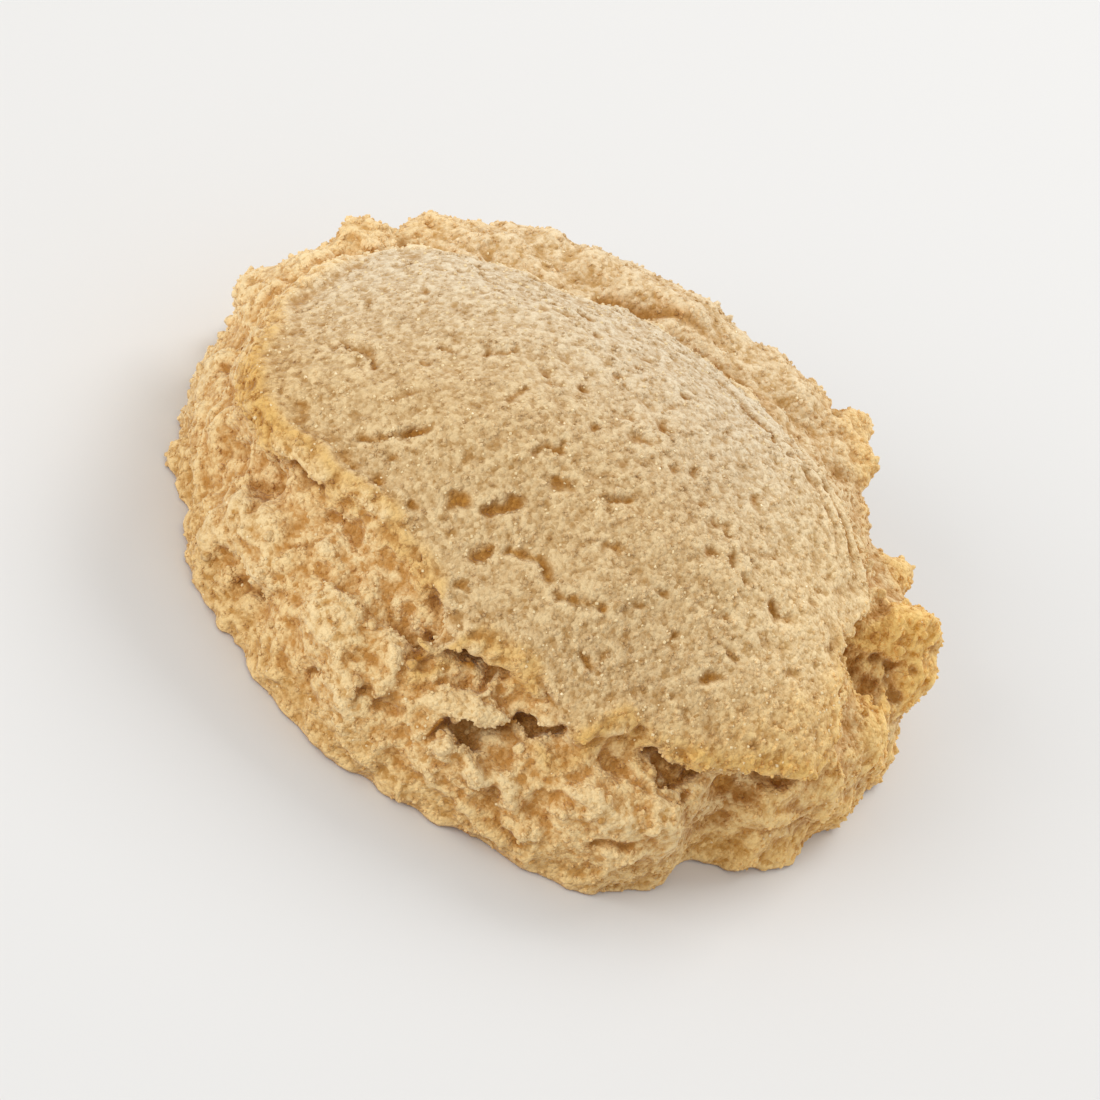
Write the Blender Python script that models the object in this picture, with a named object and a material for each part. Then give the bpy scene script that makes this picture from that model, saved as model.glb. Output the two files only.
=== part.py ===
"""A vanilla drop cookie, baked flat side down and made as one closed solid.

The dough spread into a low mound. Its smooth, sugared top set first, as a domed cap, and tore
away from the crumb below as the cookie rose. So the cap ends in a ragged lip over a craggy
flank, a roll of dough shows behind it, and browned lumps stick out of the sides.

The origin is the middle of the base, +Z is up, and the torn lip hangs over most towards -Y.
Lengths are in metres, and angles in degrees counter-clockwise from +X.
"""
import math

import bmesh
import bpy
from mathutils import Matrix, Vector, noise

MM = 0.001

# Driving dimensions
RIM_RADIUS = 35.2 * MM          # mean radius of the baked edge
MOUND_HEIGHT = 21.0 * MM        # of the crumb under the cap
MOUND_CROWN = 2.6               # powers of the mound's profile: higher is flatter on top,
MOUND_FLANK = 2.2               # and steeper at the edge
FOOT = -4.0 * MM                # spare dough below the base, which is cut off level
DOME_TOP = Vector((-1.0, -3.0, 27.0)) * MM
DOME_SIDE = 33.0 * MM           # how far the dome runs out to the sides,
DOME_FRONT = 28.5 * MM          # to the front
DOME_BACK = 24.5 * MM           # and to the back, where it has fallen by DOME_DROP
DOME_DROP = 12.8 * MM
DOME_FALL = 2.2                 # power of its fall from the top
SQUARENESS = 2.25               # of the dome seen from above; 2 is an ellipse
CAP_CENTRE = Vector((-1.0, -6.5)) * MM
CAP_HALF_WIDTH = 31.0 * MM      # along X, before the edge tore
CAP_HALF_DEPTH = 23.5 * MM      # along Y
CAP_THICKNESS = 3.0 * MM        # at the torn lip
LIP_JAG = 0.8 * MM              # of the torn lip's fine teeth
LIP_TEETH = 6                   # how closely they follow each other
LIP_BLEND = 1.5 * MM            # in which the smooth cap turns into rough crumb
CRAG_LENGTH = 7.0 * MM          # from crag to crag on the flank
CRAG_HEIGHT = 1.5 * MM
CRAG_FADE = 0.8                 # how fast the finer crags get lower,
CRAG_STEP = 2.1                 # how much finer each is than the last,
CRAG_OCTAVES = 3                # and how many there are
WAVE_LENGTH = 11.0 * MM         # of the cap's gentle waves
WAVE_HEIGHT = 0.8 * MM

# The cap's underside runs in and down: share of the way out, and cap thicknesses down
UNDERSIDE = ((0.4, 3.0), (0.8, 2.0), (0.97, 1.0))

# Mesh sizes
SEGMENTS = 180                  # round each ring
MOUND_LEVELS = 24
CAP_RINGS = 16
CAP_CROWDING = 1.3              # above 1 sets the cap's rings closer towards its lip
VOXEL = 0.75 * MM               # that the shapes are fused at
BASE_SNAP = 0.3 * MM            # what is lower than this is laid flat
MAX_TRIANGLES = 11400

# How an edge swells out or in: angle, half width in degrees, and size
RIM_SWELLS = (
    (-60, 22, 2.8 * MM), (-41, 9, -2.6 * MM), (-96, 20, 1.4 * MM), (-150, 26, -1.4 * MM),
    (38, 22, -1.6 * MM), (90, 60, -1.8 * MM),
)
LIP_SWELLS = (
    (-128, 36, -3.6 * MM), (-97, 7, 2.8 * MM), (-67, 12, 3.0 * MM), (-36, 24, 1.7 * MM),
    (-18, 14, 2.4 * MM), (3, 15, -4.2 * MM), (47, 32, -3.6 * MM), (88, 20, -1.6 * MM),
    (120, 36, -5.6 * MM),
)

# Slots and hollows torn into the flank: angle, height, half width in degrees, half height
# and depth
HOLLOWS = (
    (-91, 12.4 * MM, 9, 2.0 * MM, 2.6 * MM), (-75, 11.4 * MM, 8, 1.9 * MM, 2.8 * MM),
    (-83, 8.8 * MM, 8, 1.8 * MM, 2.2 * MM), (-51, 11.4 * MM, 9, 2.0 * MM, 2.6 * MM),
    (-35, 11.0 * MM, 9, 2.2 * MM, 3.0 * MM), (-106, 13.0 * MM, 8, 2.2 * MM, 1.8 * MM),
    (-124, 14.0 * MM, 10, 2.0 * MM, 1.0 * MM), (-143, 11.6 * MM, 9, 2.4 * MM, 1.2 * MM),
    (-126, 5.2 * MM, 10, 1.8 * MM, 1.6 * MM), (-111, 3.4 * MM, 8, 1.4 * MM, 1.2 * MM),
    (3, 13.2 * MM, 12, 4.0 * MM, 4.2 * MM),
)

# Browned lumps, in millimetres: angle, distance out and height of the middle, then half
# length along the rim, half width outwards and half height
LUMPS = (
    (174, 34.6, 9.0, 3.4, 3.0, 2.6),
    (157, 31.2, 12.2, 3.4, 3.0, 3.4),
    (144, 29.8, 12.2, 3.2, 3.0, 3.2),
    (137, 28.4, 12.8, 3.6, 3.0, 3.4),
    (57.5, 32.0, 13.6, 2.7, 2.8, 2.6),
    (29, 31.6, 9.6, 2.2, 2.4, 2.4),
    (13, 31.8, 8.6, 6.2, 4.2, 5.8),
    (-8, 31.8, 6.8, 6.4, 3.8, 5.4),
    (-62, 30.6, 4.0, 9.0, 6.4, 4.4),
    (-88, 30.2, 5.6, 9.0, 6.0, 4.6),
    (-112, 29.6, 7.0, 8.0, 5.4, 5.6),
    (-134, 29.0, 6.6, 8.0, 5.4, 6.4),
    (-158, 28.6, 6.6, 8.0, 5.0, 7.0),
    (-26, 30.0, 5.0, 7.0, 5.0, 5.4),
    (-122, 25.4, 12.4, 9.0, 4.4, 4.6),
    (-133, 26.4, 12.4, 7.0, 5.4, 5.0),
    (-150, 27.4, 11.8, 8.0, 6.0, 5.2),
    (-166, 28.6, 11.0, 7.0, 5.4, 5.0),
    (178, 29.6, 10.6, 7.0, 5.2, 5.0),
)

# The roll of dough behind the cap, which runs lower and further out to both sides
ROLL_MIDDLE = 90
ROLL_SPREAD = 60
ROLL_START = 51
ROLL_END = 141
ROLL_STEPS = 24
ROLL_RADIUS = 22.6 * MM
ROLL_HEIGHT = 15.8 * MM
ROLL_FLARE = 8.0 * MM
ROLL_DROP = 5.0 * MM
ROLL_BEND = 1.5                 # power of the flare and the drop
ROLL_THICKNESS = 4.5 * MM       # half of it


def swell(offset, half_width):
    """1 in the middle, falling smoothly to 0 a half width away."""
    away = abs(offset) / half_width
    return 0.5 + 0.5 * math.cos(math.pi * away) if away < 1 else 0.0


def turn_between(angle, other):
    return (angle - other + 180) % 360 - 180


def swells_at(angle, swells):
    return sum(size * swell(turn_between(angle, middle), half_width)
               for middle, half_width, size in swells)


def direction(angle):
    return Vector((math.cos(math.radians(angle)), math.sin(math.radians(angle))))


def squared_length(x, y):
    """A length whose unit circle is squarer than a round one."""
    return (abs(x) ** SQUARENESS + abs(y) ** SQUARENESS) ** (1 / SQUARENESS)


def dome_height(x, y):
    depth = DOME_FRONT if y < DOME_TOP.y else DOME_BACK
    out = squared_length((x - DOME_TOP.x) / DOME_SIDE, (y - DOME_TOP.y) / depth)
    return DOME_TOP.z - DOME_DROP * out ** DOME_FALL


def lip_reach(angle):
    """From the cap's centre to its torn lip."""
    way = direction(angle)
    reach = 1 / squared_length(way.x / CAP_HALF_WIDTH, way.y / CAP_HALF_DEPTH)
    jag = noise.noise(Vector((LIP_TEETH * way.x, LIP_TEETH * way.y, 0.0)))
    return reach + swells_at(angle, LIP_SWELLS) + LIP_JAG * jag


def lip_point(angle):
    x, y = CAP_CENTRE + lip_reach(angle) * direction(angle)
    return Vector((x, y, dome_height(x, y)))


def ring_angles():
    return [360 * step / SEGMENTS for step in range(SEGMENTS)]


def linked(name, mesh):
    data = bpy.data.meshes.new(name)
    mesh.to_mesh(data)
    mesh.free()
    thing = bpy.data.objects.new(name, data)
    bpy.context.scene.collection.objects.link(thing)
    return thing


def lofted(name, bottom, rings, top):
    """A closed mesh through rings of equal count, with a point at each end."""
    mesh = bmesh.new()
    loops = [[mesh.verts.new(point) for point in ring] for ring in rings]
    low_pole = mesh.verts.new(bottom)
    high_pole = mesh.verts.new(top)
    for step in range(SEGMENTS):
        after = (step + 1) % SEGMENTS
        for lower, upper in zip(loops, loops[1:]):
            mesh.faces.new((lower[step], lower[after], upper[after], upper[step]))
        mesh.faces.new((low_pole, loops[0][after], loops[0][step]))
        mesh.faces.new((high_pole, loops[-1][step], loops[-1][after]))
    return linked(name, mesh)


def mound():
    """The crumb: steep at its edge and rounded over to the top."""
    rings = []
    for level in range(-1, MOUND_LEVELS):
        height = FOOT if level < 0 else MOUND_HEIGHT * level / MOUND_LEVELS
        rise = max(0.0, height / MOUND_HEIGHT)
        width = (1 - rise ** MOUND_CROWN) ** (1 / MOUND_FLANK)
        ring = []
        for angle in ring_angles():
            radius = (RIM_RADIUS + swells_at(angle, RIM_SWELLS)) * width
            x, y = radius * direction(angle)
            ring.append((x, y, height))
        rings.append(ring)
    return lofted("mound", (0, 0, FOOT), rings, (0, 0, MOUND_HEIGHT))


def cap():
    """The sugared top: a dome torn off at the lip, which runs in and down under the dome."""
    top = Vector((DOME_TOP.x, DOME_TOP.y))
    rings = []
    for outward, layers in UNDERSIDE:
        ring = []
        for angle in ring_angles():
            lip = lip_point(angle)
            x, y = top.lerp(Vector((lip.x, lip.y)), outward)
            ring.append((x, y, lip.z - layers * CAP_THICKNESS))
        rings.append(ring)
    for step in range(CAP_RINGS):
        outward = 1 - (step / CAP_RINGS) ** CAP_CROWDING
        ring = []
        for angle in ring_angles():
            lip = lip_point(angle)
            x, y = top.lerp(Vector((lip.x, lip.y)), outward)
            ring.append((x, y, dome_height(x, y)))
        rings.append(ring)
    keel = (DOME_TOP.x, DOME_TOP.y, DOME_TOP.z - DOME_DROP - UNDERSIDE[0][1] * CAP_THICKNESS)
    return lofted("cap", keel, rings, DOME_TOP)


def lump(name, angle, distance, height, half_sizes):
    """An egg shape lying along the rim."""
    mesh = bmesh.new()
    x, y = distance * direction(angle)
    place = Matrix.Translation((x, y, height))
    spin = Matrix.Rotation(math.radians(angle + 90), 4, "Z")
    size = Matrix.Diagonal((*half_sizes, 1.0))
    bmesh.ops.create_icosphere(mesh, subdivisions=3, radius=1.0, matrix=place @ spin @ size)
    return linked(name, mesh)


def lumps():
    made = []
    for number, (angle, distance, height, *half_sizes) in enumerate(LUMPS):
        sizes = [size * MM for size in half_sizes]
        made.append(lump(f"lump_{number}", angle, distance * MM, height * MM, sizes))
    return made


def roll():
    made = []
    for step in range(ROLL_STEPS):
        angle = ROLL_START + (ROLL_END - ROLL_START) * step / (ROLL_STEPS - 1)
        away = (abs(angle - ROLL_MIDDLE) / ROLL_SPREAD) ** ROLL_BEND
        made.append(lump(f"roll_{step}", angle, ROLL_RADIUS + ROLL_FLARE * away,
                         ROLL_HEIGHT - ROLL_DROP * away, [ROLL_THICKNESS] * 3))
    return made


def fused(name, things):
    """One closed skin round overlapping shapes."""
    mesh = bmesh.new()
    for thing in things:
        mesh.from_mesh(thing.data)
        bpy.data.objects.remove(thing)
    whole = linked(name, mesh)
    remesh = whole.modifiers.new("Fuse", "REMESH")
    remesh.mode = "VOXEL"
    remesh.voxel_size = VOXEL
    apply_modifiers(whole)
    return whole


def apply_modifiers(thing):
    graph = bpy.context.evaluated_depsgraph_get()
    mesh = bpy.data.meshes.new_from_object(thing.evaluated_get(graph))
    thing.modifiers.clear()
    thing.data = mesh


def cap_share(point):
    """1 on the cap's smooth top, 0 on the crumb, and between them at the lip."""
    offset = Vector((point.x, point.y)) - CAP_CENTRE
    reach = lip_reach(math.degrees(math.atan2(offset.y, offset.x)))
    inside = (reach - offset.length) / LIP_BLEND
    above = 1 + (point.z - dome_height(point.x, point.y)) / LIP_BLEND
    return max(0.0, min(1.0, inside, above))


def hollow_depth(point):
    angle = math.degrees(math.atan2(point.y, point.x))
    return sum(depth * swell(turn_between(angle, middle), half_width)
               * swell(point.z - height, half_height)
               for middle, height, half_width, half_height, depth in HOLLOWS)


def roughen(thing):
    """Crags on the flank, faint waves on the cap, and hollows under the lip."""
    mesh = thing.data
    moved = []
    for vertex in mesh.vertices:
        point = vertex.co.copy()
        smooth = cap_share(point)
        crags = noise.fractal(point / CRAG_LENGTH, CRAG_FADE, CRAG_STEP, CRAG_OCTAVES)
        waves = noise.noise(point / WAVE_LENGTH)
        rise = (1 - smooth) * CRAG_HEIGHT * crags + smooth * WAVE_HEIGHT * waves
        inward = hollow_depth(point) * (1 - smooth)
        middle = Vector((0, 0, point.z))
        moved.append(point + rise * vertex.normal - inward * (point - middle).normalized())
    for vertex, point in zip(mesh.vertices, moved):
        vertex.co = point


def cut_level(thing):
    """Cuts the foot off at Z = 0 and closes the cut."""
    mesh = bmesh.new()
    mesh.from_mesh(thing.data)
    bmesh.ops.bisect_plane(mesh, geom=mesh.verts[:] + mesh.edges[:] + mesh.faces[:],
                           plane_co=(0, 0, 0), plane_no=(0, 0, 1), clear_inner=True)
    bmesh.ops.holes_fill(mesh, edges=[edge for edge in mesh.edges if edge.is_boundary])
    bmesh.ops.triangulate(mesh, faces=mesh.faces)
    mesh.to_mesh(thing.data)
    mesh.free()


def simplify(thing):
    decimate = thing.modifiers.new("Simplify", "DECIMATE")
    decimate.ratio = min(1.0, MAX_TRIANGLES / len(thing.data.polygons))
    apply_modifiers(thing)


def settle(thing):
    """Makes the base exactly level and flat, and centres the solid over the origin."""
    mesh = bmesh.new()
    mesh.from_mesh(thing.data)
    for vertex in mesh.verts:
        if vertex.co.z < BASE_SNAP:
            vertex.co.z = 0.0
    base = [face for face in mesh.faces if all(vertex.co.z == 0 for vertex in face.verts)]
    bmesh.ops.dissolve_faces(mesh, faces=base)
    bmesh.ops.triangulate(mesh, faces=mesh.faces)
    for axis in range(2):
        places = [vertex.co[axis] for vertex in mesh.verts]
        shift = Vector((0, 0, 0))
        shift[axis] = -(min(places) + max(places)) / 2
        bmesh.ops.translate(mesh, verts=mesh.verts, vec=shift)
    mesh.to_mesh(thing.data)
    mesh.free()
    thing.data.shade_smooth()


def baked_dough():
    material = bpy.data.materials.new("baked_dough")
    material.use_nodes = True
    shader = material.node_tree.nodes["Principled BSDF"]
    shader.inputs["Base Color"].default_value = (0.63, 0.42, 0.21, 1.0)
    shader.inputs["Roughness"].default_value = 0.85
    shader.inputs["Metallic"].default_value = 0.0
    return material


def main():
    for thing in list(bpy.data.objects):
        bpy.data.objects.remove(thing)
    cookie = fused("cookie", [mound(), cap()] + roll() + lumps())
    roughen(cookie)
    cut_level(cookie)
    simplify(cookie)
    settle(cookie)
    cookie.data.materials.clear()
    cookie.data.materials.append(baked_dough())


main()
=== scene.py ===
# %% [markdown]
# # A vanilla drop cookie
# A spoonful of dough spread into a low mound in the oven. Its sugared top set first, as a
# smooth dome, and then tore away from the soft crumb below as that rose. So one cookie shows
# two surfaces: a pale, pitted cap, and a craggy flank under the cap's ragged lip. This lesson
# starts from the solid that fixes the cookie's size, and works down through the scales: first
# crags and cracks of a few millimetres, then pores and sugar grain, then colour.

# %% Load the fixed frame
import math

import bpy
import numpy as np
from mathutils import Matrix, Quaternion, Vector, noise


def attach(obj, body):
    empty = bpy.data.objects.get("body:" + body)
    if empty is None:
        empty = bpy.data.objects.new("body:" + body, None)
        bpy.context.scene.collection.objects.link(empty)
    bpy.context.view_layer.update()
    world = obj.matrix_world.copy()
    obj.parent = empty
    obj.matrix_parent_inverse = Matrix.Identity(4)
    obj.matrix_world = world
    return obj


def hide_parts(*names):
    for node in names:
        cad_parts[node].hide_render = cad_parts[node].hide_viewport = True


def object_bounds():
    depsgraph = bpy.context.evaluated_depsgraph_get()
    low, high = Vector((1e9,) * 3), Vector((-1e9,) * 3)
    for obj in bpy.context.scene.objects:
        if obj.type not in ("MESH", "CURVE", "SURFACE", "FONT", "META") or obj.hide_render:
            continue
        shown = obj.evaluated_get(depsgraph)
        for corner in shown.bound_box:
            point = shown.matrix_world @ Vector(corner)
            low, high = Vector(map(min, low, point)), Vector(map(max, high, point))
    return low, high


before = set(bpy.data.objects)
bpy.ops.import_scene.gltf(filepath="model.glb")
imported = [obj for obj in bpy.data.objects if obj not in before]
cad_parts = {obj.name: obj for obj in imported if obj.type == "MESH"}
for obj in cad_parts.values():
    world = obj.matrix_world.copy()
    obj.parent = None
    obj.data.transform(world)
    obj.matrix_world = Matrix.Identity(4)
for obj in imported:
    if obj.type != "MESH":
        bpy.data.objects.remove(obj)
cad_low, cad_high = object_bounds()
MM = 0.001
print("solid:", [round(side / MM, 1) for side in cad_high - cad_low], "mm")

# %% [markdown]
# ## The camera
# The cookie is seen from 38 degrees above, as someone at a table sees it. The camera is also
# turned about its own axis, so that the cookie leans as if it were propped up on one side. A
# long lens from most of a metre away keeps the near crags from looking larger than the far ones.

# %% Place the camera
LIFT = math.radians(38)
TILT = math.radians(32)
DISTANCE = 0.80
SEEN_WIDTH = 0.098                      # what the picture spans at the cookie
AIM_LEFT, AIM_LOW = 0.0029, 0.0055      # of the middle of the cookie's box

scene = bpy.context.scene
scene.view_settings.view_transform = "Standard"     # shows each colour as its hex code says
middle = (cad_low + cad_high) / 2
back = Vector((0, -math.cos(LIFT), math.sin(LIFT)))
view_up = Vector((0, math.sin(LIFT), math.cos(LIFT)))
view_right = Vector((1, 0, 0))
turned_up = view_up * math.cos(TILT) - view_right * math.sin(TILT)
turned_right = view_right * math.cos(TILT) + view_up * math.sin(TILT)

camera_data = bpy.data.cameras.new("camera")
camera_data.lens = camera_data.sensor_width * DISTANCE / SEEN_WIDTH
camera = bpy.data.objects.new("camera", camera_data)
scene.collection.objects.link(camera)
axes = Matrix((turned_right, turned_up, back)).transposed().to_4x4()
aim = middle - AIM_LEFT * turned_right - AIM_LOW * turned_up
camera.matrix_world = Matrix.Translation(aim + DISTANCE * back) @ axes
scene.camera = camera
print("lens:", round(camera_data.lens), "mm")

# %% [markdown]
# ## A way to write materials
# Colours are given as they are seen on a screen, in sRGB hex, and Blender's nodes want them
# linear, so one function turns them. One more adds a node with its settings and links.

# %% Colour and node helpers


def colour(hex_code):
    """An sRGB hex colour as linear red, green, blue and alpha."""
    parts = [int(hex_code[at:at + 2], 16) / 255 for at in (1, 3, 5)]
    return [part / 12.92 if part <= 0.04045 else ((part + 0.055) / 1.055) ** 2.4
            for part in parts] + [1.0]


def add_node(material, kind, settings=None, inputs=None):
    """A node with its settings; an input is a value, or another node's output to link."""
    node = material.node_tree.nodes.new(kind)
    for key, value in (settings or {}).items():
        setattr(node, key, value)
    for key, value in (inputs or {}).items():
        if isinstance(value, bpy.types.NodeSocket):
            material.node_tree.links.new(value, node.inputs[key])
        else:
            node.inputs[key].default_value = value
    return node


def new_material(name):
    """A material, and the shader that its settings go to."""
    material = bpy.data.materials.new(name)
    material.use_nodes = True
    return material, material.node_tree.nodes["Principled BSDF"]


# %% [markdown]
# ## The studio
# A sheet of matt white paper lies under the cookie, and a white room lights both from all
# round. Two large soft lights, about as strong as each other, are added to it. The key hangs
# behind, a little to the right: it lights the cap at a slant, so that each pit shows a soft dark
# edge. The fill stands lower, in front on the left, so that the torn flank stays readable.

# %% Lay the paper and hang the lights
bpy.ops.object.select_all(action="DESELECT")
bpy.ops.mesh.primitive_plane_add(size=6.0, location=(0, 0, 0))
paper = bpy.context.object
paper.name = "paper"
# Uncoated paper has no gloss, so it takes soft shade and no reflections
paper_material, shader = new_material("matt_white_paper")
shader.inputs["Base Color"].default_value = colour("#dfdedc")
shader.inputs["Roughness"].default_value = 0.9
paper.data.materials.append(paper_material)


def soft_light(name, direction, distance, size, watts):
    """A square area light that looks at the cookie."""
    data = bpy.data.lights.new(name, "AREA")
    data.size = size
    data.energy = watts
    light = bpy.data.objects.new(name, data)
    scene.collection.objects.link(light)
    light.location = middle + distance * direction.normalized()
    light.rotation_euler = direction.to_track_quat("Z", "Y").to_euler()


soft_light("key", Vector((0.22, 0.70, 0.62)), distance=0.9, size=0.45, watts=3.5)
soft_light("fill", Vector((-0.70, -0.66, 0.45)), distance=1.1, size=0.7, watts=5.3)
world = bpy.data.worlds.new("white_room")
world.use_nodes = True
world.node_tree.nodes["Background"].inputs["Color"].default_value = colour("#ffffff")
world.node_tree.nodes["Background"].inputs["Strength"].default_value = 0.74
scene.world = world
print("lights:", [light.name for light in bpy.data.lights])

# %% [markdown]
# ## The body
# The solid is right in size and shape, but its facets are over a millimetre across. A copy of
# it is merged, given a fine even skin with a voxel remesh, and smoothed until the facets are
# gone. Every vertex is then free to be a crumb or a pore.

# %% Copy the solid and refine its skin
FIRST_VOXEL = 0.32 * MM
SAME_PLACE = 1e-6                       # vertices nearer to each other than this are one


def only(piece):
    """Makes piece the one that operators act on."""
    bpy.ops.object.select_all(action="DESELECT")
    bpy.context.view_layer.objects.active = piece
    piece.select_set(True)


def finish_modifier(piece, name, kind, **settings):
    """Adds a modifier with its settings and applies it."""
    modifier = piece.modifiers.new(name, kind)
    for key, value in settings.items():
        setattr(modifier, key, value)
    only(piece)
    bpy.ops.object.modifier_apply(modifier=name)


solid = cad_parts["cookie"]
cookie = bpy.data.objects.new("cookie_body", solid.data.copy())
scene.collection.objects.link(cookie)
only(cookie)
bpy.ops.object.mode_set(mode="EDIT")
bpy.ops.mesh.select_all(action="SELECT")
bpy.ops.mesh.remove_doubles(threshold=SAME_PLACE)
bpy.ops.object.mode_set(mode="OBJECT")
finish_modifier(cookie, "skin", "REMESH", mode="VOXEL", voxel_size=FIRST_VOXEL)
finish_modifier(cookie, "no_facets", "SMOOTH", factor=0.5, iterations=6)
print("vertices:", len(cookie.data.vertices))

# %% Read and move the vertices


def points_of(piece):
    """The places of the vertices, one a row."""
    flat = np.empty(3 * len(piece.data.vertices))
    piece.data.vertices.foreach_get("co", flat)
    return flat.reshape(-1, 3)


def normals_of(piece):
    """Which way the skin faces at each vertex, one a row."""
    flat = np.empty(3 * len(piece.data.vertices))
    piece.data.vertices.foreach_get("normal", flat)
    return flat.reshape(-1, 3)


def place(piece, points):
    """Puts the vertices at these points."""
    piece.data.vertices.foreach_set("co", points.ravel())
    piece.data.update()


def pushed_out(piece, amounts):
    """Moves every vertex along its normal."""
    place(piece, points_of(piece) + normals_of(piece) * amounts[:, None])


# %% Make ramps, bumps and noise


def ramp(values, low, high):
    """0 below low, 1 above high, and smooth between."""
    share = np.clip((values - low) / (high - low), 0, 1)
    return share * share * (3 - 2 * share)


def bump_at(distance, half_width):
    """1 in the middle, falling smoothly to 0 a half width away."""
    bump = 0.5 + 0.5 * np.cos(np.pi * np.clip(distance / half_width, 0, 1))
    return np.where(distance < half_width, bump, 0)


FADE, FINER = 0.9, 2.0                  # how each octave of noise fades and grows finer
APART, CELLS_APART = 17.3, 31.7         # from one seed's part of the noise to the next


def wander(points, size, octaves=1, seed=0):
    """Soft noise from about -1 to 1, whose hills are size apart."""
    places = (points / size + APART * seed).tolist()
    if octaves == 1:
        return np.array([noise.noise(at) for at in places])
    return np.array([noise.fractal(at, FADE, FINER, octaves) for at in places])


def warped(points, by, size, seed=0):
    """The points, each strayed a little, which makes round things uneven."""
    stray = [wander(points, size, 2, seed=seed + axis) for axis in range(3)]
    return points + by * np.array(stray).T


SHUFFLE = 97.0                          # so that neighbouring pits differ in luck


def pits(points, spacing, share, half_widths, seed=0):
    """0 outside scattered pits and up to 1 in their middles. Spacing is from one to the next,
    share is how many of the places have one, and their half widths vary between two."""
    narrow, wide = half_widths
    uneven = warped(points, 0.8 * wide, 1.3 * wide, seed)
    depths = []
    for at in (uneven / spacing + CELLS_APART * seed).tolist():
        distances, centres = noise.voronoi(at)
        luck = 0.5 + 0.5 * noise.cell(centres[0] * SHUFFLE)
        away = distances[0] * spacing / (narrow + (wide - narrow) * luck / share)
        depth = (0.5 + 0.5 * math.cos(math.pi * away)) * (0.4 + 0.6 * luck / share)
        depths.append(depth if luck < share and away < 1 else 0.0)
    return np.array(depths)


# %% [markdown]
# ## Where the cap is
# The cap is the dome that the solid was made with: seen from above it is a squarish oval, and
# its torn lip lies nearer or further out as the angle goes round. The same sizes are repeated
# here, to tell the cap from the crumb.

# %% Measure the cap
DOME_TOP = Vector((-0.6, -1.7, 27.0)) * MM
DOME_SIDE, DOME_FRONT, DOME_BACK = 33.0 * MM, 28.5 * MM, 24.5 * MM
DOME_DROP, DOME_FALL = 12.8 * MM, 2.2
SQUARENESS = 2.25
CAP_CENTRE = Vector((-0.6, -5.2)) * MM
CAP_HALF_WIDTH, CAP_HALF_DEPTH = 31.0 * MM, 23.5 * MM
LIP_JAG, LIP_TEETH = 0.8 * MM, 6
# How the lip swells out or in: angle, half width in degrees, and size
LIP_SWELLS = (
    (-128, 36, -3.6 * MM), (-97, 7, 2.8 * MM), (-67, 12, 3.0 * MM), (-36, 24, 1.7 * MM),
    (-18, 14, 2.4 * MM), (3, 15, -4.2 * MM), (47, 32, -3.6 * MM), (88, 20, -1.6 * MM),
    (120, 36, -5.6 * MM),
)


def squared_length(x, y):
    """Length from the middle, which is 1 all along the edge of a rounded square."""
    return (abs(x) ** SQUARENESS + abs(y) ** SQUARENESS) ** (1 / SQUARENESS)


def angles_of(points):
    """Degrees round from +X, seen from above."""
    return np.degrees(np.arctan2(points[:, 1], points[:, 0]))


def towards(angles, angle, half_width):
    """1 at an angle, falling smoothly to 0 a half width to either side of it."""
    return bump_at(np.abs((angles - angle + 180) % 360 - 180), half_width)


def dome_height(points):
    """How high the whole dome is at each place seen from above."""
    depth = np.where(points[:, 1] < DOME_TOP.y, DOME_FRONT, DOME_BACK)
    across, along = points[:, 0] - DOME_TOP.x, points[:, 1] - DOME_TOP.y
    out = squared_length(across / DOME_SIDE, along / depth)
    return DOME_TOP.z - DOME_DROP * out ** DOME_FALL


def lip_reach(angles):
    """How far the lip is from the middle of the cap at each angle."""
    radians = np.radians(angles)
    x, y = np.cos(radians), np.sin(radians)
    reach = 1 / squared_length(x / CAP_HALF_WIDTH, y / CAP_HALF_DEPTH)
    for angle, half_width, size in LIP_SWELLS:
        reach = reach + size * towards(angles, angle, half_width)
    jag = [noise.noise((LIP_TEETH * along, LIP_TEETH * across, 0)) for along, across in zip(x, y)]
    return reach + LIP_JAG * np.array(jag)


def inside_lip(points):
    """How far inside the torn lip each point is, seen from above."""
    x, y = points[:, 0] - CAP_CENTRE.x, points[:, 1] - CAP_CENTRE.y
    return lip_reach(np.degrees(np.arctan2(y, x))) - np.hypot(x, y)


def below_dome(points):
    """How far each point is below the whole dome."""
    return dome_height(points) - points[:, 2]


def cap_share(points):
    """1 on the sugared cap, and 0 on the crumb."""
    within = ramp(inside_lip(points), -0.2 * MM, 1.0 * MM)
    return within * (1 - ramp(below_dome(points), 1.0 * MM, 2.2 * MM))


share = cap_share(points_of(cookie))
print("cap covers", round(100 * float(share.mean())), "% of the skin")

# %% [markdown]
# ## Crags, tears and cracks
# Where the cap tore off, the crumb is broken: lumps as big as peas, crests between them, and
# holes left by steam. Those are noise, as any would do. The larger slots, ridges and bites have
# a place of their own, so each is drawn as a path. On the cap the skin only rippled: it has low
# waves and dents, short cracks, and long steps that follow its right edge. Each is an amount by
# which a vertex moves along its normal, so that they add up.

# %% Measure along paths
FLANK_RADIUS = 32 * MM                  # at which the flank is unrolled


def base_share(points, normals):
    """1 on the flat base, and 0 above it and on its edge."""
    return (1 - ramp(points[:, 2], 0.5 * MM, 1.5 * MM)) * ramp(-normals[:, 2], 0.2, 0.7)


def unrolled(points):
    """Places on the flank as if it were unrolled: how far round, and how high."""
    angles = np.arctan2(points[:, 1], points[:, 0])
    return np.column_stack((angles * FLANK_RADIUS, points[:, 2]))


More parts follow.
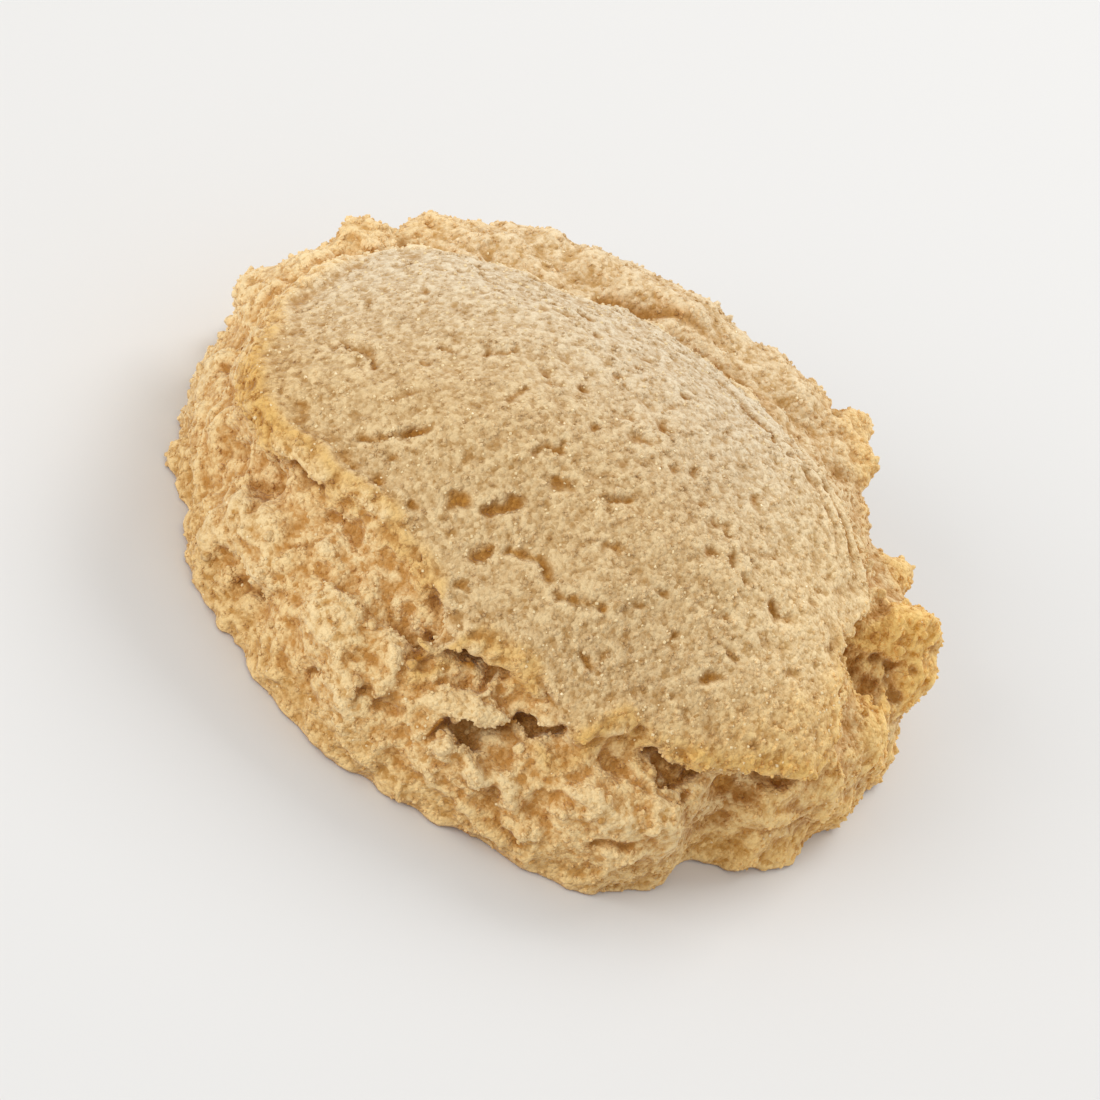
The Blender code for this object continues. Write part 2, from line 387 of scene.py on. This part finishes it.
def to_path(places, path):
    """Distance from each flat place to the nearest leg of a path."""
    nearest = np.full(len(places), np.inf)
    for start, end in zip(path[:-1], path[1:]):
        start, way = np.array(start), np.array(end) - np.array(start)
        along = np.clip(((places - start) @ way) / (way @ way), 0, 1)
        nearest = np.minimum(nearest, np.hypot(*(places - start - along[:, None] * way).T))
    return nearest


def worn(places, paths, uneven):
    """Sum of the sizes of the paths near each place. A path is its half width, its size and
    its points, in millimetres, and it frays where uneven is high or low."""
    total = np.zeros(len(places))
    for half_width, size, *path in paths:
        away = to_path(places, np.array(path) * MM)
        total += size * MM * bump_at(away, half_width * MM * (1 + 0.5 * uneven))
    return total


def strayed(points):
    """A flat offset that wanders from place to place, to fray what is drawn along paths."""
    offsets = [wander(points, 2.6 * MM, 2, seed=seed) for seed in (5, 6)]
    return 1.1 * MM * np.column_stack(offsets)


# %% Draw the slots and ridges


def on_flank(half_width, size, *path):
    """A path given in degrees round and millimetres up."""
    return (half_width, size, *((math.radians(angle) * FLANK_RADIUS / MM, high)
                                for angle, high in path))


# Slots and pockets torn into the flank, most of them from the left round to the right
SLOTS = (
    on_flank(1.3, -0.7, (-152, 7.0), (-150, 9.8)),
    on_flank(0.9, -0.7, (-144, 8.6), (-140, 10.0), (-136, 9.6)),
    on_flank(1.3, -1.3, (-139, 14.3), (-131, 14.9)),
    on_flank(0.9, -0.7, (-127, 9.8), (-125, 12.0)),
    on_flank(1.0, -0.9, (-130, 3.0), (-126, 5.4)),
    on_flank(0.7, -0.9, (-110, 4.0), (-109, 6.0)),
    on_flank(0.7, -0.9, (-103, 7.4), (-101, 7.8)),
    on_flank(0.8, -1.1, (-99.5, 7.4), (-96, 8.2)),
    on_flank(1.1, -1.1, (-103, 16.2), (-100, 14.2)),
    on_flank(1.2, -1.9, (-100, 12.0), (-93, 13.0), (-86, 13.5)),
    on_flank(0.35, -1.2, (-84.5, 12.4), (-83.5, 12.8)),
    on_flank(1.3, -1.9, (-89, 8.7), (-80, 10.0), (-72, 12.2)),
    on_flank(0.6, -0.6, (-84, 7.0), (-76, 4.8), (-70, 2.4)),
    on_flank(1.0, -1.7, (-56, 11.8), (-46, 10.6)),
    on_flank(1.0, -1.6, (-35, 10.0), (-27, 10.6)),
    on_flank(0.8, -0.9, (-171, 8.0), (-169, 9.8)),
    on_flank(0.8, -0.9, (-62, 5.6), (-57, 6.8)),
    on_flank(2.8, -2.6, (2, 12.0), (2, 15.0)),
    on_flank(0.9, -1.2, (6, 10.0), (8, 11.4)),
    on_flank(1.1, -1.8, (-3, 13.0), (-4, 16.0)),
)
# Ridges left standing between them
RIDGES = (
    on_flank(1.2, 0.6, (-139, 6.0), (-130, 7.0), (-122, 8.0), (-116, 10.0)),
    on_flank(1.2, 0.5, (-113, 10.4), (-107, 8.8), (-103, 6.6), (-101, 4.0)),
    on_flank(1.4, 0.7, (-86, 7.6), (-78, 6.4), (-71, 4.2)),
    on_flank(1.2, 0.6, (-91, 5.4), (-79, 3.4), (-72, 1.4)),
    on_flank(1.3, 0.7, (-68, 9.0), (-60, 8.2), (-52, 8.8)),
    on_flank(1.4, 0.6, (-42, 6.0), (-30, 6.6), (-18, 5.6)),
    on_flank(1.3, 0.7, (-122, 12.6), (-116, 10.6), (-110, 11.4)),
    on_flank(1.2, 0.6, (-162, 9.0), (-158, 5.0), (-150, 3.0)),
)
# Bites out of the lip, seen from above
BITES = ((1.8, -1.7, (-7.6, -28.2), (-3.4, -29.6)), (1.8, -1.7, (4.6, -29.8), (9.8, -30.4)))
# Creases that run along the lip, just outside it: angle and half width in degrees, then how far
# inside the lip, half width and size in millimetres
CREASES = (
    (112, 62, -0.9, 1.2, -0.6),
    (90, 52, -2.1, 1.4, -1.0),
    (40, 34, -1.0, 1.1, -0.9),
    (105, 45, -5.2, 1.3, -0.7),
)
print(len(SLOTS), "slots,", len(RIDGES), "ridges,", len(CREASES), "creases")

# %% Break the crumb
BEHIND = (88, 75)                       # angle and half width of the calm back, in degrees


def creased(points):
    """The creases between the cap and the roll behind it."""
    angles = angles_of(points)
    inside = inside_lip(points)
    return sum(size * MM * towards(angles, angle, spread)
               * bump_at(np.abs(inside - far * MM), half_width * MM)
               for angle, spread, far, half_width, size in CREASES)


points, normals = points_of(cookie), normals_of(cookie)
inside = inside_lip(points)
cap = cap_share(points)
free = 1 - base_share(points, normals)
angles = angles_of(points)
behind = towards(angles, *BEHIND)
calm = 1 - 0.75 * np.sqrt(behind)
fray = wander(points, 1.5 * MM, 2, seed=2)
stray = strayed(points)
named = worn(unrolled(points) + stray, SLOTS + RIDGES, fray)
lumps = 0.6 * MM * wander(points, 5.5 * MM, 2, seed=1)
hollows = -0.7 * MM * pits(points, 6.0 * MM, 0.4, (1.0 * MM, 2.4 * MM), seed=2)
crests = 0.4 * MM * (1 - ramp(np.abs(wander(points, 7.0 * MM, 3, seed=3)), 0.0, 0.2))
clods = 0.08 * MM * wander(points, 2.6 * MM, 3, seed=4)
crumb_rise = calm * (lumps + hollows + crests + clods) + named + creased(points)
print("crags:", round(float(crumb_rise.min()) / MM, 1), "to",
      round(float(crumb_rise.max()) / MM, 1), "mm")

# %% Ripple the cap
# Cracks and pits in the cap: half width, size, and points seen from above
CRACKS = (
    (0.5, -0.7, (-18.8, -18.4), (-16.4, -17.6), (-14.3, -15.8)),
    (0.45, -0.8, (-5.2, -14.7), (-4.2, -13.2), (-3.0, -12.6), (-3.4, -11.8)),
    (0.9, -0.7, (-2.4, -21.6), (0.2, -21.3), (1.6, -22.2)),
    (0.8, -0.6, (3.4, -22.9), (7.2, -22.3)),
    (0.7, -0.6, (-24.2, -8.6), (-22.6, -9.6), (-21.4, -11.4)),
    (0.6, -0.6, (-12.8, -5.4), (-11.6, -4.2)),
    (0.45, -0.4, (10.6, -9.0), (12.0, -9.7), (13.8, -9.4)),
    (0.4, -0.35, (15.4, -7.6), (17.6, -6.0)),
    (0.6, -0.55, (-9.4, -10.6), (-8.4, -8.8)), (0.8, -0.5, (-18.0, -14.2), (-17.0, -13.4)),
    (1.1, -0.7, (-8.9, -20.7), (-7.8, -20.4)), (1.2, -1.0, (-5.6, -19.3), (-4.6, -18.7)),
    (1.3, -0.8, (-4.9, -23.5), (-3.9, -22.9)), (1.1, -0.6, (-9.7, 4.3), (-8.6, 5.0)),
    (0.9, -0.5, (1.6, -6.9), (2.6, -6.3)), (0.9, -0.5, (-2.4, -15.6), (-1.4, -15.0)),
    (0.8, -0.5, (3.0, -13.8), (4.0, -13.0)), (0.9, -0.6, (20.0, -10.0), (21.2, -9.4)),
)
# Terraces along the right edge: how far inside the lip, half width and size
TERRACES = ((1.1, 0.9, -1.5), (2.4, 0.8, 0.6), (3.7, 0.8, -1.3), (4.9, 0.8, 0.4), (6.1, 0.7, -0.6))
TERRACED_SIDE = (46, 46)                # angle and half width, from the middle of the cap


def terraced(points):
    """The long low steps that follow the right edge of the cap."""
    centred = points[:, :2] - np.array(CAP_CENTRE)
    by_the_right = towards(angles_of(centred), *TERRACED_SIDE)
    far_in = inside_lip(points) + 0.6 * MM * wander(points, 5 * MM, 2, seed=19)
    uneven = 1 + 0.4 * wander(points, 1.5 * MM, 2, seed=2)
    steps = sum(size * MM * bump_at(np.abs(far_in - far * MM), half_width * MM * uneven)
                for far, half_width, size in TERRACES)
    return by_the_right * steps * (0.75 + 0.5 * wander(points, 4 * MM, 1, seed=7))


wide_waves = 0.30 * MM * wander(points, 6.5 * MM, 2, seed=8)
small_waves = 0.15 * MM * wander(points, 2.4 * MM, 2, seed=9)
dents = -0.8 * MM * pits(points, 2.3 * MM, 0.9, (0.5 * MM, 1.1 * MM), seed=10)
cracks = worn(points[:, :2] + 0.5 * stray, CRACKS, fray)
cap_rise = wide_waves + small_waves + terraced(points) + dents + cracks
print("ripples:", round(float(cap_rise.min()) / MM, 1), "to",
      round(float(cap_rise.max()) / MM, 1), "mm")

# %% Tear the lip
# Except behind, the lip is ragged and the crumb is undercut just outside it. On the left the lip
# also stands up as a low ridge, and the undercut is deeper. Both fade out beside the knobs.
LEFT, BY_THE_KNOBS = (-152, 58), (20, 50)       # angle and half width, in degrees
below = below_dome(points)
torn_edge = bump_at(np.abs(inside - 0.3 * MM), 1.5 * MM) * (1 - behind)
ragged = 0.5 * MM * torn_edge * (1 - ramp(below, 1 * MM, 3 * MM)) * fray
by_the_left = 0.2 + 0.8 * np.sqrt(towards(angles, *LEFT))
ridge = 0.45 * MM * bump_at(np.abs(inside - 0.9 * MM), 1.2 * MM) * by_the_left
undercut = bump_at(np.abs(inside + 1.4 * MM), 1.2 * MM) * (1 - behind)
ridge -= (0.5 + 0.6 * by_the_left) * MM * undercut
ridge *= (1 - ramp(below, 2 * MM, 4 * MM)) * (1 - towards(angles, *BY_THE_KNOBS))
bitten = worn(points[:, :2] + 0.5 * stray, BITES, fray) * ramp(points[:, 2], 11 * MM, 13 * MM)
rise = free * (cap * cap_rise + (1 - cap) * crumb_rise + ragged + ridge + bitten)
pushed_out(cookie, rise)
print("moved by", round(float(np.abs(rise).mean()) / MM, 2), "mm on average")

# %% Close the skin again
# Moving it this far stretched the skin and folded it in the slots, so it gets a new even one
SECOND_VOXEL = 0.26 * MM
finish_modifier(cookie, "skin", "REMESH", mode="VOXEL", voxel_size=SECOND_VOXEL)
finish_modifier(cookie, "soften", "SMOOTH", factor=0.5, iterations=1)
print("vertices:", len(cookie.data.vertices))

# %% [markdown]
# ## Pores and grain
# Up close the cap is sandy: sugar and flour grains about half a millimetre across, and pores
# where bubbles burst. The crumb is rougher, and has larger holes too. A pore is a bowl round
# the middle of a scattered cell, and the grain is fine noise.

# %% Prick pores and raise grain
points, normals = points_of(cookie), normals_of(cookie)
cap = cap_share(points)
free = 1 - base_share(points, normals)
pores = -0.18 * MM * pits(points, 1.6 * MM, 0.4, (0.25 * MM, 0.55 * MM), seed=11)
holes = -0.28 * MM * pits(points, 3.2 * MM, 0.3, (0.4 * MM, 0.9 * MM), seed=13)
rough = 0.09 * MM * wander(points, 1.1 * MM, 3, seed=14)
sand = 0.075 * MM * wander(points, 0.55 * MM, 1, seed=12)
cap_fine = pores + 0.8 * rough + sand
crumb_fine = 0.4 * pores + 0.6 * holes + 1.2 * rough + 1.2 * sand
pushed_out(cookie, free * (cap * cap_fine + (1 - cap) * crumb_fine))
points = points_of(cookie)
points[:, 2] = np.maximum(points[:, 2], 0)              # nothing reaches below the base
place(cookie, points)
print("lowest point:", round(float(points[:, 2].min()) / MM, 3), "mm")

# %% Thin the skin out where it is smooth
MOST_TRIANGLES = 196_000
triangles = 2 * len(cookie.data.polygons)
finish_modifier(cookie, "thin_out", "DECIMATE", ratio=min(1.0, MOST_TRIANGLES / triangles))
cookie.data.shade_smooth()
print("triangles:", sum(len(face.vertices) - 2 for face in cookie.data.polygons))

# %% [markdown]
# ## What the colours follow
# The oven browned what stands out and is thin, such as the lip and the knobs at the right, and
# left the cap pale. Shade and light are painted in as well: pores, creases, slots, the pocket
# beside the knob and the hollows between lumps are painted darker and more golden as painted
# shade, low grains a little darker, the tops of lumps lighter as a painted highlight, and the
# right of the cap and the roll behind paler as painted light. A texture can't know where those
# are, so the colours follow measures from 0 to 1, kept as attributes of the vertices. Some come
# from the relief, seen from close by and from further off: the fine grain, pits, hollows and
# lumps. The others say where a vertex is.

# %% Measure how far the skin stands out


def smoothed(piece, rounds):
    """The vertices after each has moved many times to the mean of its neighbours."""
    edges = np.empty(2 * len(piece.data.edges), dtype=np.int64)
    piece.data.edges.foreach_get("vertices", edges)
    edges = edges.reshape(-1, 2)
    ends = np.concatenate((edges[:, 0], edges[:, 1]))
    others = np.concatenate((edges[:, 1], edges[:, 0]))
    count = np.bincount(ends, minlength=len(piece.data.vertices))
    places = points_of(piece)
    for _ in range(rounds):
        sums = [np.bincount(ends, weights=places[others, axis]) for axis in range(3)]
        places = (np.array(sums) / count).T
    return places


points, normals = points_of(cookie), normals_of(cookie)


def stands_out(rounds):
    """How far each vertex stands out of the skin round it; more rounds look further round."""
    return np.einsum("ij,ij->i", points - smoothed(cookie, rounds), normals)


CLOSE_BY, FURTHER, FAR_OFF = 4, 24, 120         # rounds of smoothing
fine, mid, broad = stands_out(CLOSE_BY), stands_out(FURTHER), stands_out(FAR_OFF)
for name, values in (("fine", fine), ("mid", mid), ("broad", broad)):
    print(name, "relief:", np.percentile(values / MM, (2, 25, 50, 75, 98)).round(3))

# %% Say where the skin is browned, and where light and shade are painted
POCKET = np.array((math.radians(5) * FLANK_RADIUS, 13 * MM))    # beside the knob, unrolled
# Angle and half width of each side, in degrees
KNOBS, BACK_LEFT, ROLL = (16, 76), (148, 42), (100, 82)

cap = cap_share(points)
crumb = 1 - cap
angles = angles_of(points)
behind = towards(angles, *BEHIND)
inside, below = inside_lip(points), below_dome(points)
out = np.hypot(points[:, 0], points[:, 1])
front = ramp(-points[:, 1], -8 * MM, 15 * MM)
# Painted light: the right of the cap is painted paler, as if lit more
right_painted_light = ramp(points[:, 0], 8 * MM, 25 * MM) * ramp(points[:, 1], -24 * MM, -10 * MM)
far = ramp(points[:, 0], 12 * MM, 24 * MM) * crumb

# Painted shade: pits, steps and creases are painted darker and more golden
pit_shade = ramp(-mid, 0.04 * MM, 0.38 * MM)
pit_shade = np.maximum(pit_shade, ramp(-terraced(points), 0.1 * MM, 0.6 * MM))
pit_shade *= 1 - 0.65 * crumb + 0.25 * far
pit_shade = np.maximum(pit_shade, 0.9 * ramp(-creased(points), 0.15 * MM, 0.7 * MM) * crumb)

lip_band = bump_at(np.abs(inside - 0.3 * MM), 1.4 * MM) * (1 - ramp(below, 1.5 * MM, 4 * MM))
far_out = ramp(out, 27 * MM, 33 * MM)
foot = (1 - ramp(points[:, 2], 2 * MM, 6 * MM)) * front
browned = 0.7 * lip_band + 0.25 * far_out * (1 - behind) + 0.3 * foot

knobs = np.sqrt(towards(angles, *KNOBS)) * ramp(out, 25 * MM, 31 * MM)
tips = knobs * ramp(broad, -0.2 * MM, 0.6 * MM)
# Painted shade: the deep pocket beside the knob is painted dark golden
pocket_shade = bump_at(np.hypot(*(unrolled(points) - POCKET).T), 8 * MM)
back_left = towards(angles, *BACK_LEFT) * far_out
toasted_and_pocket_shade = 0.8 * tips + 0.6 * pocket_shade * crumb + 0.35 * back_left

# Painted light: the roll behind is painted paler, as if lit strongly from behind
roll = np.sqrt(towards(angles, *ROLL))
# Painted shade: the insides of the slots are painted dark brown
slots = worn(unrolled(points) + strayed(points), SLOTS, np.zeros(len(points)))
torn = ramp(-slots, 0.3 * MM, 1.4 * MM) * crumb * (1 - 0.4 * far)
skin = {
    "cap": cap,                                         # the sugared dome
    "front": front,                                     # the front of cap and lip, coloured darker
    "right_painted_light": right_painted_light,                                     # painted light: the right of the cap painted paler
    "grain_shading": np.clip(0.5 + fine / (0.18 * MM), 0, 1),   # painted shade: low grains darker, high ones lighter
    "pit_shade": pit_shade,                                         # painted shade in dents, pores, steps and creases
    "hollow_shade": ramp(-broad, 0.3 * MM, 1.8 * MM),         # painted shade between lumps
    "raised_highlight": ramp(broad, 0.1 * MM, 0.9 * MM),          # painted highlight on lumps
    "browned": np.clip(browned, 0, 1),                  # the lip, the rim and the foot
    "toasted_and_pocket_shade": np.clip(toasted_and_pocket_shade, 0, 1),                  # the toasted knobs, and painted shade in the pocket
    "roll_painted_light": np.clip(1.3 * roll, 0, 1) * crumb,        # painted light: the roll behind, painted paler as if lit from behind
    "far": far,                                         # the right, where the painted shade in hollows is more golden
    "torn": torn,                                       # painted shade inside the slots
    "base": base_share(points, normals),                # the flat base
}


def keep(piece, name, values):
    """Gives each vertex of a piece its value of a measure."""
    attribute = piece.data.attributes.new(name, "FLOAT", "POINT")
    attribute.data.foreach_set("value", np.asarray(values, dtype=np.float32))


for name, values in skin.items():
    keep(cookie, name, values)
    print(name, "covers", round(100 * float(values.mean())), "%")

# %% [markdown]
# ## Crumbs and sugar
# A broken flank sheds grains of about half a millimetre, and crumbs of up to one, and many stay
# stuck to it. The cap was dusted with sugar, whose crystals are about a fifth of a millimetre
# across and catch the light. One of each is modelled, then copied to places drawn at
# random among the skin's vertices, turned and resized each time, and all of a kind are joined
# in one mesh.

# %% Model one crumb and one crystal


def crumb_model(detail):
    """A lumpy grain of dough, one unit across."""
    bpy.ops.object.select_all(action="DESELECT")
    bpy.ops.mesh.primitive_ico_sphere_add(subdivisions=detail, radius=0.5)
    model = bpy.context.object
    points = points_of(model)
    lengths = 1 + 0.5 * wander(points, 0.45, 2, seed=21)
    place(model, points * lengths[:, None])
    return model


def crystal_model():
    """A sugar crystal with worn edges, one unit across."""
    bpy.ops.object.select_all(action="DESELECT")
    bpy.ops.mesh.primitive_cube_add(size=1.0)
    model = bpy.context.object
    bpy.ops.object.mode_set(mode="EDIT")
    bpy.ops.mesh.select_all(action="SELECT")
    bpy.ops.mesh.bevel(offset=0.16, segments=1)
    bpy.ops.object.mode_set(mode="OBJECT")
    return model


# %% Copy a model over the skin
draw = np.random.default_rng(12)


def drawn(count, chance):
    """Vertices drawn at random, likelier where the chance is high."""
    return draw.choice(len(points), count, replace=False, p=chance / chance.sum())


def scattered(name, model, spots, sizes, lift=0.0):
    """Copies of a model on the vertices of the skin, each turned at random, as one mesh that
    keeps the skin's measures. Lift is out of the skin, as a share of the size."""
    shape = points_of(model)
    model_faces = [tuple(face.vertices) for face in model.data.polygons]
    places, faces = [], []
    for spot, size in zip(spots, sizes):
        turn = np.array(Quaternion(draw.normal(size=4)).normalized().to_matrix())
        stretch = size * draw.uniform(0.7, 1.2, size=3)
        first = len(places) * len(shape)
        places.append((shape * stretch) @ turn.T + points[spot] + normals[spot] * size * lift)
        faces.extend(tuple(first + corner for corner in face) for face in model_faces)
    places = np.concatenate(places)
    places[:, 2] = np.maximum(places[:, 2], 0)
    mesh = bpy.data.meshes.new(name)
    mesh.from_pydata(places.tolist(), [], faces)
    piece = bpy.data.objects.new(name, mesh)
    scene.collection.objects.link(piece)
    for measure, values in skin.items():
        keep(piece, measure, np.repeat(values[spots], len(shape)))
    bpy.data.objects.remove(model)
    print(name + ":", sum(len(face.vertices) - 2 for face in mesh.polygons), "triangles")
    return piece


# %% Scatter the crumbs, the grains and the sugar
CRUMBS, GRAINS, CRYSTALS = 450, 9000, 1300

high_up = ramp(points[:, 2], 0.2 * MM, 0.6 * MM) * (1 - skin["base"])
shows = ramp(mid, -0.15 * MM, 0.05 * MM)

spots = drawn(CRUMBS, high_up * (1.05 - cap) * shows)
sizes = draw.uniform(0.35, 1.0, len(spots)) ** 2 * MM + 0.2 * MM
crumbs = scattered("stuck_crumbs", crumb_model(2), spots, sizes, lift=-0.05)
crumbs.data.shade_smooth()

spots = drawn(GRAINS, high_up * (0.3 + 0.7 * shows))
sizes = draw.uniform(0.28, 0.58, len(spots)) * MM
grains = scattered("dough_grains", crumb_model(1), spots, sizes)

spots = drawn(CRYSTALS, high_up * (0.15 + cap) * (1 - pit_shade) ** 2 * (1 - skin["torn"]))
sizes = draw.uniform(0.12, 0.28, len(spots)) * MM
sugar = scattered("sugar_crystals", crystal_model(), spots, sizes)

# %% [markdown]
# ## Baked dough
# Flour, butter and sugar, baked: matt, slightly rough, and pale where sugar crusts it. Its
# colour changes in three ways. From grain to grain it goes from dark to light, partly at random
# and partly as painted shade with low grains darker, which is one tone from 0 to 1. Each part
# of the skin has its own darkest and lightest colour for that tone. The measures then say how
# much of each part shows. Some parts are painted light and shade: pits, slots, the pocket and
# hollows are painted shade, the tops of lumps a painted highlight, and the right of the cap and
# the roll behind painted light.

# %% Write the dough's nodes
# A dry crust scatters light softly, with only a faint sheen from the flour on it
dough, shader = new_material("baked_vanilla_dough")
place_on_piece = add_node(dough, "ShaderNodeTexCoord").outputs["Object"]


def kept(name):
    """A measure of the skin."""
    return add_node(dough, "ShaderNodeAttribute", {"attribute_name": name}).outputs["Fac"]


def mixed(share, first, second):
    """Colour first where share is 0, and second where it is 1."""
    node = add_node(dough, "ShaderNodeMix", {"data_type": "RGBA"})
    for socket, value in (("Factor_Float", share), ("A_Color", first), ("B_Color", second)):
        target = next(entry for entry in node.inputs if entry.identifier == socket)
        if isinstance(value, bpy.types.NodeSocket):
            dough.node_tree.links.new(value, target)
        else:
            target.default_value = value
    return next(entry for entry in node.outputs if entry.identifier == "Result_Color")


def stepped(value, low, high):
    """0 below low, 1 above high, and smooth between."""
    node = add_node(dough, "ShaderNodeMapRange", {"interpolation_type": "SMOOTHSTEP"},
                    {"Value": value, "From Min": low, "From Max": high})
    return node.outputs["Result"]


def speckle(millimetres, detail):
    """Noise whose spots are that far apart."""
    node = add_node(dough, "ShaderNodeTexNoise", {},
                    {"Vector": place_on_piece, "Scale": 1000 / millimetres, "Detail": detail})
    return node.outputs["Fac"]


def cells(millimetres):
    """Grains that are that far apart, each with a value of its own."""
    return add_node(dough, "ShaderNodeTexVoronoi", {},
                    {"Vector": place_on_piece, "Scale": 1000 / millimetres})


def summed(first, second, weight):
    """First and a weighted second."""
    node = add_node(dough, "ShaderNodeMath", {"operation": "MULTIPLY_ADD"},
                    {0: second, 1: weight, 2: first})
    return node.outputs["Value"]


# %% Mix the dough's colours
# Fine sugar is about 0.2 mm across and flour is finer, so grit of these sizes, in millimetres,
# is coarser than the real one. Any finer, it wouldn't show
GRIT, FINE_GRIT, MOTTLE = 0.42, 0.24, 0.9
# The darkest and the lightest colour of each part of the skin
TONES = {
    "back_cap": ("#be9963", "#eddbba"),
    "front_cap": ("#af8449", "#e6c997"),
    # painted light on the right of the cap
    "cap_painted_light": ("#c49a5a", "#fbdfac"),
    "crumb": ("#c68f48", "#f1d59f"),
    # painted highlight on the tops of lumps
    "raised_highlight": ("#cb9d56", "#f4dcac"),
    # painted light on the roll behind
    "roll_painted_light": ("#c59a5a", "#f2dab0"),
    "pale_lip": ("#d4a662", "#fee5b4"),
    "deep_lip": ("#aa7224", "#e4b664"),
    # the toasted knobs, and painted shade in the pocket
    "toasted_and_pocket_shade": ("#c88824", "#ffd480"),
    # painted shade in pits, steps and creases
    "pit_shade": ("#9e681c", "#d49a40"),
    # painted shade between lumps, on the left and on the right
    "near_hollow_shade": ("#b27c34", "#eac07a"),
    "far_hollow_shade": ("#a8690a", "#f6bc58"),
    # painted shade inside the slots
    "torn": ("#7c4a0e", "#bc8028"),
}
BASE = "#c08d50"

# The tone adds up the grain of the mesh, painted shade with low grains darker, and three
# patterns, and is then brought to 0 to 1
grit, fine_grit = cells(GRIT), cells(FINE_GRIT)
tone = summed(kept("grain_shading"), grit.outputs["Color"], 0.9)
tone = summed(tone, speckle(MOTTLE, 3.0), 0.7)
tone = summed(tone, fine_grit.outputs["Color"], 0.5)
tone = stepped(tone, 0.75, 2.35)


def toned(name):
    """A part's colour, dark or light as the tone says."""
    darkest, lightest = TONES[name]
    return mixed(tone, colour(darkest), colour(lightest))


cap_colour = mixed(kept("front"), toned("back_cap"), toned("front_cap"))
# Painted light: the right of the cap is painted paler
cap_colour = mixed(kept("right_painted_light"), cap_colour, toned("cap_painted_light"))
# Painted highlight: the tops of lumps are painted lighter
crumb_colour = mixed(kept("raised_highlight"), toned("crumb"), toned("raised_highlight"))
# Painted light: the roll behind is painted paler, as if lit from behind
crumb_colour = mixed(kept("roll_painted_light"), crumb_colour, toned("roll_painted_light"))
skin_colour = mixed(kept("cap"), crumb_colour, cap_colour)
lip_colour = mixed(kept("front"), toned("pale_lip"), toned("deep_lip"))
skin_colour = mixed(kept("browned"), skin_colour, lip_colour)
# The toasted knobs, and painted shade in the pocket beside them
skin_colour = mixed(kept("toasted_and_pocket_shade"), skin_colour, toned("toasted_and_pocket_shade"))
# Painted shade in pits, pores, steps and creases
skin_colour = mixed(kept("pit_shade"), skin_colour, toned("pit_shade"))
# Painted shade between lumps, more golden on the right
hollow_shade_colour = mixed(kept("far"), toned("near_hollow_shade"), toned("far_hollow_shade"))
skin_colour = mixed(kept("hollow_shade"), skin_colour, hollow_shade_colour)
# Painted shade inside the slots
skin_colour = mixed(kept("torn"), skin_colour, toned("torn"))
skin_colour = mixed(kept("base"), skin_colour, colour(BASE))
dough.node_tree.links.new(skin_colour, shader.inputs["Base Color"])
print("dough:", len(dough.node_tree.nodes), "nodes")

# %% Give the dough its finish
shader.inputs["Roughness"].default_value = 0.72
shader.inputs["IOR"].default_value = 1.45
shader.inputs["Specular IOR Level"].default_value = 0.35
shader.inputs["Sheen Weight"].default_value = 0.15
# Each grain of the grit is a low dome, highest in its middle
height = summed(grit.outputs["Distance"], fine_grit.outputs["Distance"], 0.5)
bump = add_node(dough, "ShaderNodeBump", {"invert": True},
                {"Height": height, "Strength": 1.0, "Distance": 0.16 * MM})
dough.node_tree.links.new(bump.outputs["Normal"], shader.inputs["Normal"])
cookie.data.materials.clear()
for piece in (cookie, crumbs, grains):
    piece.data.materials.append(dough)
    print(piece.name, "is made of", dough.name)

# %% [markdown]
# ## Sugar crystals
# Fine sugar that didn't melt. Its crystals are clear, hard and faceted, and take the warm
# colour of the crust under them, so they are made pale, warm and smooth. Their flat faces then
# glint here and there, as the real ones do.

# %% Make the sugar
sugar_crystal, shader = new_material("sugar_crystal")
shader.inputs["Base Color"].default_value = colour("#ead2a2")
shader.inputs["Roughness"].default_value = 0.2
shader.inputs["IOR"].default_value = 1.54
sugar.data.materials.append(sugar_crystal)
print(sugar.name, "is made of", sugar_crystal.name)

# %% [markdown]
# ## One cookie
# The four pieces move as one, on the part's only body, and stand for its one solid.

# %% Put the pieces on the part
for piece in (cookie, crumbs, grains, sugar):
    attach(piece, "root")
    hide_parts("cookie")
